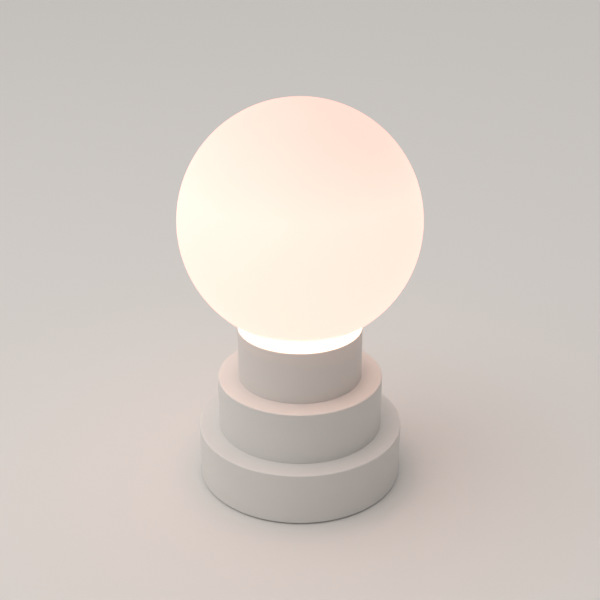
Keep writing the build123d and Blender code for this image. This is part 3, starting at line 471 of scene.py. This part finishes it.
# %% Step tree
step, given, result = new_tree("stepped tier", [
    ("Geometry", "Geometry"), ("Outer radius", "Float"), ("Foot", "Float"), ("Top", "Float"),
    ("Wall", "Float"), ("Plate", "Float"), ("Mouth radius", "Float"), ("Edge radius", "Float"),
    ("Foot bevel", "Float"), ("Inner edge", "Float"), ("Boss radius", "Float"), ("Boss bore", "Float"),
    ("Boss foot", "Float"), ("Boss top", "Float"), ("Drill depth", "Float"), ("Window width", "Float"),
    ("Window height", "Float"), ("Window middle", "Float"), ("Ear spacing", "Float"),
    ("Ear radius", "Float"), ("Ear bore", "Float"), ("Ear foot", "Float"), ("Ear top", "Float"),
    ("Segments", "Int"), ("Small segments", "Int"), ("Finish", "Material")])
print("step inputs:", [socket.name for socket in step.interface.items_tree if socket.in_out == "INPUT"])

# %% [markdown]
# A profile could be drawn as a curve object, but that would fix its size. Here it starts as a straight
# line with one point for each corner. An Index Switch hands each point its place, worked out from the
# inputs, and a second one its rounding, so the same few nodes draw the cup, its bosses and its ears.

# %% Rounded profiles
rounding_points = 6  # on each rounded corner of a profile


def turned_loop(corners, roundings, segments):
    """A closed profile through those corners (radius, height), each rounded, turned on the lathe."""
    straight = put(step, "GeometryNodeCurvePrimitiveLine").outputs["Curve"]
    line = put(step, "GeometryNodeResampleCurve", {"Count": len(corners)}, {"Curve": straight})
    index = put(step, "GeometryNodeInputIndex").outputs[0]
    picks = []
    for kind, items in (("VECTOR", corners), ("FLOAT", roundings)):
        pick = put(step, "GeometryNodeIndexSwitch", None, {"Index": index}, data_type=kind)
        while len(pick.index_switch_items) < len(items):
            pick.index_switch_items.new()
        for number, item in enumerate(items):
            if kind == "VECTOR":
                item = put(step, "ShaderNodeCombineXYZ", None, {"X": item[0], "Y": item[1]}).outputs[0]
            step.links.new(item, pick.inputs[number + 1])
        picks.append(pick.outputs[0])
    placed = put(step, "GeometryNodeSetPosition", None,
                 {"Geometry": line.outputs["Curve"], "Position": picks[0]})
    loop = put(step, "GeometryNodeSetSplineCyclic", {"Cyclic": True},
               {"Geometry": placed.outputs["Geometry"]})
    rounded = put(step, "GeometryNodeFilletCurve", {"Count": rounding_points, "Limit Radius": True},
                  {"Curve": loop.outputs["Geometry"], "Radius": picks[1]}, mode="POLY")
    group = put(step, "GeometryNodeGroup", node_tree=lathe)
    step.links.new(rounded.outputs["Curve"], group.inputs["Profile"])
    step.links.new(segments, group.inputs["Segments"])
    return group.outputs["Geometry"]


print("points on each rounding:", rounding_points)

# %% Cup
outer, foot, top, edge = (given[name] for name in ("Outer radius", "Foot", "Top", "Inner edge"))
mouth = given["Mouth radius"]
inner = put(step, "ShaderNodeMath", None, {0: outer, 1: given["Wall"]}, operation="SUBTRACT").outputs[0]
ceiling = put(step, "ShaderNodeMath", None, {0: top, 1: given["Plate"]}, operation="SUBTRACT").outputs[0]
cup = turned_loop(
    [(outer, foot), (outer, top), (mouth, top), (mouth, ceiling), (inner, ceiling), (inner, foot)],
    [given["Foot bevel"], given["Edge radius"], edge, edge, edge, edge], given["Segments"])
print("cup nodes:", len(step.nodes))

# %% [markdown]
# The flat tops are drilled for screws, and the lowest step has a window at the back for the rear panel.
# Holes could be drawn in the faces, but a Boolean cuts them at any place. Its tools are a drill on each
# loose vertex that has a bore, and a box, which a switch leaves out where the window has no width. A cut
# can leave doubles where a drill meets an edge, so they are merged.

# %% Screw holes
bore_here = put(step, "GeometryNodeInputNamedAttribute", {"Name": "bore"}, data_type="FLOAT").outputs[0]
drilled = put(step, "FunctionNodeCompare", {1: 0.0}, {0: bore_here}, operation="GREATER_THAN").outputs[0]
drill = put(step, "GeometryNodeMeshCylinder", {"Radius": 1.0},
            {"Vertices": given["Small segments"], "Depth": given["Drill depth"]})
drill_size = put(step, "ShaderNodeCombineXYZ", {"Z": 1.0}, {"X": bore_here, "Y": bore_here})
drills = put(step, "GeometryNodeInstanceOnPoints", None,
             {"Points": given["Geometry"], "Selection": drilled, "Instance": drill.outputs["Mesh"],
              "Scale": drill_size.outputs[0]})
cutters = put(step, "GeometryNodeRealizeInstances", None, {"Geometry": drills.outputs["Instances"]})
shell = put(step, "GeometryNodeMeshBoolean", None, {"Mesh 1": cup, "Mesh 2": cutters.outputs["Geometry"]},
            operation="DIFFERENCE", solver="EXACT")
welded = put(step, "GeometryNodeMergeByDistance", {"Distance": weld}, {"Geometry": shell.outputs["Mesh"]})
print("step tree nodes with the drills:", len(step.nodes))

# %% Window
tool_depth = 12 * MM  # well through the wall
tool_size = put(step, "ShaderNodeCombineXYZ", {"Y": tool_depth},
                {"X": given["Window width"], "Z": given["Window height"]})
tool_place = put(step, "ShaderNodeCombineXYZ", None, {"Y": outer, "Z": given["Window middle"]})
block = put(step, "GeometryNodeMeshCube", None, {"Size": tool_size.outputs[0]})
tool = put(step, "GeometryNodeTransform", None,
           {"Geometry": block.outputs["Mesh"], "Translation": tool_place.outputs[0]})
windowed = put(step, "FunctionNodeCompare", {1: 0.0}, {0: given["Window width"]},
               operation="GREATER_THAN").outputs[0]
opening = put(step, "GeometryNodeSwitch", None, {"Switch": windowed, "True": tool.outputs["Geometry"]},
              input_type="GEOMETRY")
step.links.new(opening.outputs[0], shell.inputs["Mesh 2"])
print("tools of the Boolean:", len(shell.inputs["Mesh 2"].links))

# %% [markdown]
# The bosses that screws bite into are turned as well. They stand on the loose vertices that have no bore.
# Beside the window, two ears lie on their sides against the wall, to hold the rear panel's screws. A Mesh
# Line of two points places them, and the window's switch leaves them out of the other steps.

# %% Bosses
small = given["Small segments"]
boss_r, boss_bore = given["Boss radius"], given["Boss bore"]
boss_foot, boss_top = given["Boss foot"], given["Boss top"]
boss = turned_loop([(boss_r, boss_foot), (boss_r, boss_top), (boss_bore, boss_top), (boss_bore, boss_foot)],
                   [edge] * 4, small)
standing = put(step, "FunctionNodeBooleanMath", None, {0: drilled}, operation="NOT")
bosses = put(step, "GeometryNodeInstanceOnPoints", None,
             {"Points": given["Geometry"], "Selection": standing.outputs[0], "Instance": boss})
print("step tree nodes with the bosses:", len(step.nodes))

# %% Ears
ear_r, ear_bore = given["Ear radius"], given["Ear bore"]
ear_foot, ear_top = given["Ear foot"], given["Ear top"]
ear = turned_loop([(ear_r, ear_foot), (ear_r, ear_top), (ear_bore, ear_top), (ear_bore, ear_foot)],
                  [edge] * 4, small)
lying = put(step, "GeometryNodeTransform", {"Rotation": (-math.pi / 2, 0.0, 0.0)}, {"Geometry": ear})
left = put(step, "ShaderNodeMath", {1: -0.5}, {0: given["Ear spacing"]}, operation="MULTIPLY")
ear_start = put(step, "ShaderNodeCombineXYZ", None, {"X": left.outputs[0], "Z": given["Window middle"]})
ear_offset = put(step, "ShaderNodeCombineXYZ", None, {"X": given["Ear spacing"]})
pair = put(step, "GeometryNodeMeshLine", {"Count": 2},
           {"Start Location": ear_start.outputs[0], "Offset": ear_offset.outputs[0]})
ears = put(step, "GeometryNodeInstanceOnPoints", None,
           {"Points": pair.outputs["Mesh"], "Instance": lying.outputs["Geometry"]})
eared = put(step, "GeometryNodeSwitch", None, {"Switch": windowed, "True": ears.outputs["Instances"]},
            input_type="GEOMETRY")
whole = put(step, "GeometryNodeJoinGeometry")
for share in (eared.outputs[0], bosses.outputs["Instances"], welded.outputs["Geometry"]):
    step.links.new(share, whole.inputs[0])
print("joined in a step:", len(whole.inputs[0].links))

# %% [markdown]
# A rounding meets a flat at a small angle, and there the shading should break, or the flat would look
# dished. Weighted normals could do that too, but the tree can mark edges by itself. So the edges with
# such an angle are marked sharp, and the real corners too.

# %% Shading and finish
least_meeting, most_meeting, least_corner = (math.radians(degrees) for degrees in (4, 10, 40))
real = put(step, "GeometryNodeRealizeInstances", None, {"Geometry": whole.outputs[0]})
angle = put(step, "GeometryNodeInputMeshEdgeAngle").outputs["Unsigned Angle"]
above = put(step, "FunctionNodeCompare", {1: least_meeting}, {0: angle}, operation="GREATER_THAN")
below = put(step, "FunctionNodeCompare", {1: most_meeting}, {0: angle}, operation="LESS_THAN")
corner = put(step, "FunctionNodeCompare", {1: least_corner}, {0: angle}, operation="GREATER_THAN")
meeting = put(step, "FunctionNodeBooleanMath", None, {0: above.outputs[0], 1: below.outputs[0]},
              operation="AND")
crisp = put(step, "FunctionNodeBooleanMath", None, {0: meeting.outputs[0], 1: corner.outputs[0]},
            operation="OR")
soft = put(step, "GeometryNodeSetShadeSmooth", {"Shade Smooth": True}, {0: real.outputs[0]}, domain="FACE")
sharp = put(step, "GeometryNodeSetShadeSmooth", {"Shade Smooth": False},
            {0: soft.outputs[0], 1: crisp.outputs[0]}, domain="EDGE")
painted = put(step, "GeometryNodeSetMaterial", None,
              {"Geometry": sharp.outputs[0], "Material": given["Finish"]})
step.links.new(painted.outputs[0], result["Geometry"])
print("step tree nodes:", len(step.nodes))

# %% [markdown]
# The three steps share their wall, roundings and finish, and take their own mouth, foot bevel, bosses and
# holes. Their radius and heights are read from the solids that they stand for, and the places of bosses
# and holes from the screws. Each hole is a little wider than its screw.

# %% Sizes of the steps, in mm
screw_gap = 0.05
screw_diameter = {"top_tier_screws": 4, "middle_tier_screws": 4, "base_screws": 3, "heat_sink_screws": 3,
                  "bayonet_screws": 2.5, "rear_panel_screws": 2.5}
hole_radius = {node: diameter / 2 + screw_gap for node, diameter in screw_diameter.items()}
panel_screws = [place[0] / MM for place, bore in spots_of("rear_panel_screws")]
shared_sizes = {
    "Wall": 2, "Edge radius": 0.8, "Inner edge": 0.2, "Boss radius": 4, "Drill depth": 4,
    "Window middle": 19.25, "Ear spacing": max(panel_screws) - min(panel_screws), "Ear radius": 2.8,
    "Ear bore": hole_radius["rear_panel_screws"], "Ear foot": 55.28, "Ear top": 60.6}
own_sizes = {
    "top_tier": {"Plate": 4.5, "Mouth radius": 27.3, "Foot bevel": 0.2, "Boss foot": 71, "Boss top": 85},
    "middle_tier": {"Plate": 2, "Mouth radius": 6.05, "Foot bevel": 0.2, "Boss foot": 36, "Boss top": 50},
    "bottom_tier": {"Plate": 2, "Mouth radius": 6.05, "Foot bevel": 0.4, "Boss foot": 4.5, "Boss top": 34,
                    "Window width": 37.3, "Window height": 14.3}}
boss_screws = {"top_tier": "top_tier_screws", "middle_tier": "middle_tier_screws",
               "bottom_tier": "base_screws"}
# What each flat top is drilled for, and the height of the drill's middle.
drilled_for = {"top_tier": [("bayonet_screws", 102.15)],
               "middle_tier": [("top_tier_screws", 70), ("heat_sink_screws", 70)],
               "bottom_tier": [("middle_tier_screws", 35)]}
print("hole radii (mm):", hole_radius)

# %% Three steps
for name, own in own_sizes.items():
    low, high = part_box(name)
    spots = spots_of(boss_screws[name])
    for screws, height in drilled_for[name]:
        spots += spots_of(screws, height, hole_radius[screws])
    settings = {socket: size * MM for socket, size in {**shared_sizes, **own}.items()}
    settings.update({
        "Outer radius": high.x, "Foot": low.z, "Top": high.z,
        "Boss bore": hole_radius[boss_screws[name]] * MM,
        "Segments": 256, "Small segments": 96, "Finish": finishes["white_powder_coat"]})
    piece = make_piece("stepped_" + name, step, spots, settings)
    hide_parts(name)
    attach(piece, "base")
    print(name, "faces:", len(piece.data.polygons), "size (mm):",
          [round(side / MM, 2) for side in piece.dimensions])

# %% [markdown]
# ## Foot pads
# Four rubber pads cover the screws under the base, and each has grip rings moulded in its sole. A bump in
# the material would not show at the rim, so the rings are real. The profile is a line from the axis to
# the rim whose height follows a cosine, then goes up the rim and back to the axis over the top.

# %% Profile of a pad
pad, given, result = new_tree("ringed pad", [
    ("Geometry", "Geometry"), ("Radius", "Float"), ("Thickness", "Float"), ("Ring pitch", "Float"),
    ("Ring depth", "Float"), ("Segments", "Int"), ("Finish", "Material")])
sole_points = 72
number = put(pad, "GeometryNodeInputIndex").outputs[0]
outward = put(pad, "ShaderNodeMapRange", {"From Max": sole_points - 1.0},
              {"Value": number, "To Max": given["Radius"]}).outputs["Result"]
turns = put(pad, "ShaderNodeMath", None, {0: outward, 1: given["Ring pitch"]}, operation="DIVIDE")
phase = put(pad, "ShaderNodeMath", {1: math.tau}, {0: turns.outputs[0]}, operation="MULTIPLY")
wave = put(pad, "ShaderNodeMath", None, {0: phase.outputs[0]}, operation="COSINE")
dip = put(pad, "ShaderNodeMapRange", {"From Min": -1.0, "From Max": 1.0},
          {"Value": wave.outputs[0], "To Max": given["Ring depth"]}).outputs["Result"]
on_sole = put(pad, "FunctionNodeCompare", {1: sole_points - 0.5}, {0: number},
              operation="LESS_THAN").outputs[0]
to_rim = put(pad, "FunctionNodeCompare", {1: sole_points + 0.5}, {0: number},
             operation="LESS_THAN").outputs[0]
over = put(pad, "GeometryNodeSwitch", {"False": 0.0}, {"Switch": to_rim, "True": given["Radius"]},
           input_type="FLOAT").outputs[0]
across = put(pad, "GeometryNodeSwitch", None, {"Switch": on_sole, "False": over, "True": outward},
             input_type="FLOAT").outputs[0]
upward = put(pad, "GeometryNodeSwitch", None, {"Switch": on_sole, "False": given["Thickness"], "True": dip},
             input_type="FLOAT").outputs[0]
spot = put(pad, "ShaderNodeCombineXYZ", None, {"X": across, "Y": upward})
straight = put(pad, "GeometryNodeCurvePrimitiveLine").outputs["Curve"]
line = put(pad, "GeometryNodeResampleCurve", {"Count": sole_points + 2}, {"Curve": straight})
profile = put(pad, "GeometryNodeSetPosition", None,
              {"Geometry": line.outputs["Curve"], "Position": spot.outputs[0]})
print("points in a pad's profile:", sole_points + 2)

# %% [markdown]
# The profile is turned on the lathe. The pads repeat, so one pad stands on each of four loose vertices,
# at the places of the pads in the frame. Only the rim is a sharp corner: the rings stay smooth.

# %% Pads
least_rim = math.radians(50)
group = put(pad, "GeometryNodeGroup", node_tree=lathe)
pad.links.new(profile.outputs["Geometry"], group.inputs["Profile"])
pad.links.new(given["Segments"], group.inputs["Segments"])
four = put(pad, "GeometryNodeInstanceOnPoints", None,
           {"Points": given["Geometry"], "Instance": group.outputs["Geometry"]})
real = put(pad, "GeometryNodeRealizeInstances", None, {"Geometry": four.outputs["Instances"]})
angle = put(pad, "GeometryNodeInputMeshEdgeAngle").outputs["Unsigned Angle"]
corner = put(pad, "FunctionNodeCompare", {1: least_rim}, {0: angle}, operation="GREATER_THAN")
soft = put(pad, "GeometryNodeSetShadeSmooth", {"Shade Smooth": True}, {0: real.outputs[0]}, domain="FACE")
sharp = put(pad, "GeometryNodeSetShadeSmooth", {"Shade Smooth": False},
            {0: soft.outputs[0], 1: corner.outputs[0]}, domain="EDGE")
painted = put(pad, "GeometryNodeSetMaterial", None,
              {"Geometry": sharp.outputs[0], "Material": given["Finish"]})
pad.links.new(painted.outputs[0], result["Geometry"])

pads = make_piece("ringed_foot_pads", pad, spots_of("foot_pads"), {
    "Radius": 6.5 * MM, "Thickness": 1.5 * MM, "Ring pitch": 1.3 * MM, "Ring depth": 0.35 * MM,
    "Segments": 96, "Finish": finishes["black_rubber"]})
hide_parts("foot_pads")
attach(pads, "base")
print("pads:", len(pads.data.polygons), "faces, height (mm):", round(pads.dimensions.z / MM, 2))

# %% [markdown]
# ## A plain studio
# The lamp stands on a wide floor of pale matt paper, which keeps its shadow. Three lamps could light it,
# but they leave bands on pale round walls. So most of the light is the world itself, like a large white
# tent that is brightest overhead and leans a little to the left. The level is plain: a colour renders
# about as it is written, and the globe, which gives off its own light, stays the brightest thing in view.

# %% Floor
# Matt paper: no highlights, with fibres of about 2 mm.
paper, tree, shader, place = bare("pale matt paper")
fibre = put(tree, "ShaderNodeTexNoise", {"Scale": 1 / (2 * MM)}, {"Vector": place})
sheen = put(tree, "ShaderNodeMapRange", {"To Min": 0.75, "To Max": 0.9}, {"Value": fibre.outputs["Fac"]})
tree.links.new(sheen.outputs["Result"], shader.inputs["Roughness"])
shader.inputs["Base Color"].default_value = ink("#E0DBD6")
half = 15.0
floor_corners = [(-half, -half, 0.0), (half, -half, 0.0), (half, half, 0.0), (-half, half, 0.0)]
floor_mesh = bpy.data.meshes.new("floor")
floor_mesh.from_pydata(floor_corners, [], [(0, 1, 2, 3)])
floor_mesh.materials.append(paper)
floor = bpy.data.objects.new("floor", floor_mesh)
scene.collection.objects.link(floor)
print("floor:", 2 * half, "m wide")

# %% [markdown]
# A dot product of the direction with the tent's axis gives the tent's level. What the camera, mirrors and
# clear plastic see of the world is an even backdrop instead, about as bright as the far floor.

# %% World
tent_axis = (-0.3, 0.1, 0.95)
world = bpy.data.worlds.new("studio")
world.use_nodes = True
tree = world.node_tree
direction = put(tree, "ShaderNodeTexCoord").outputs["Generated"]
along = put(tree, "ShaderNodeVectorMath", {1: tent_axis}, {0: direction}, operation="DOT_PRODUCT")
level = put(tree, "ShaderNodeMapRange", {"From Min": 0.1, "From Max": 0.9, "To Min": 0.06, "To Max": 1.06},
            {"Value": along.outputs["Value"]})
tent = put(tree, "ShaderNodeBackground", {"Color": ink("#FFFFFF")}, {"Strength": level.outputs["Result"]})
backdrop = put(tree, "ShaderNodeBackground", {"Color": ink("#F5F0EA"), "Strength": 0.6})
ray = put(tree, "ShaderNodeLightPath").outputs
mirrored = put(tree, "ShaderNodeMath", None, {0: ray["Is Glossy Ray"], 1: ray["Is Transmission Ray"]},
               operation="MAXIMUM")
seen = put(tree, "ShaderNodeMath", None, {0: ray["Is Camera Ray"], 1: mirrored.outputs[0]},
           operation="MAXIMUM")
mixed = put(tree, "ShaderNodeMixShader", None,
            {0: seen.outputs[0], 1: tent.outputs[0], 2: backdrop.outputs[0]})
tree.links.new(mixed.outputs[0], tree.nodes["World Output"].inputs["Surface"])
tree.nodes.remove(tree.nodes["Background"])
scene.world = world
scene.view_settings.view_transform = "Standard"
print("world:", world.name, "with", len(tree.nodes), "nodes")

# %% [markdown]
# One soft box, high on the left, adds a soft shadow, so that the round walls go from lighter to darker
# and read as round. It is turned towards the lamp by two angles: how far it leans, and which way.

# %% Soft box
box_place, aim = (-0.8, -0.3, 1.4), (0.0, 0.0, 0.1)
away_x, away_y, away_z = (here - there for here, there in zip(box_place, aim))
lean = math.atan2(math.hypot(away_x, away_y), away_z)
heading = math.atan2(away_x, -away_y)
box_light = bpy.data.lights.new("soft box", "AREA")
box_light.size = 1.2
box_light.energy = 4.0
box = bpy.data.objects.new("soft box", box_light)
box.location = box_place
box.rotation_euler = (lean, 0.0, heading)
scene.collection.objects.link(box)
print("soft box leans by", round(math.degrees(lean)), "degrees")

# %% [markdown]
# ## The end
# The dressed lamp has to stay inside the box of its solids.

# %% The end
print("the end")
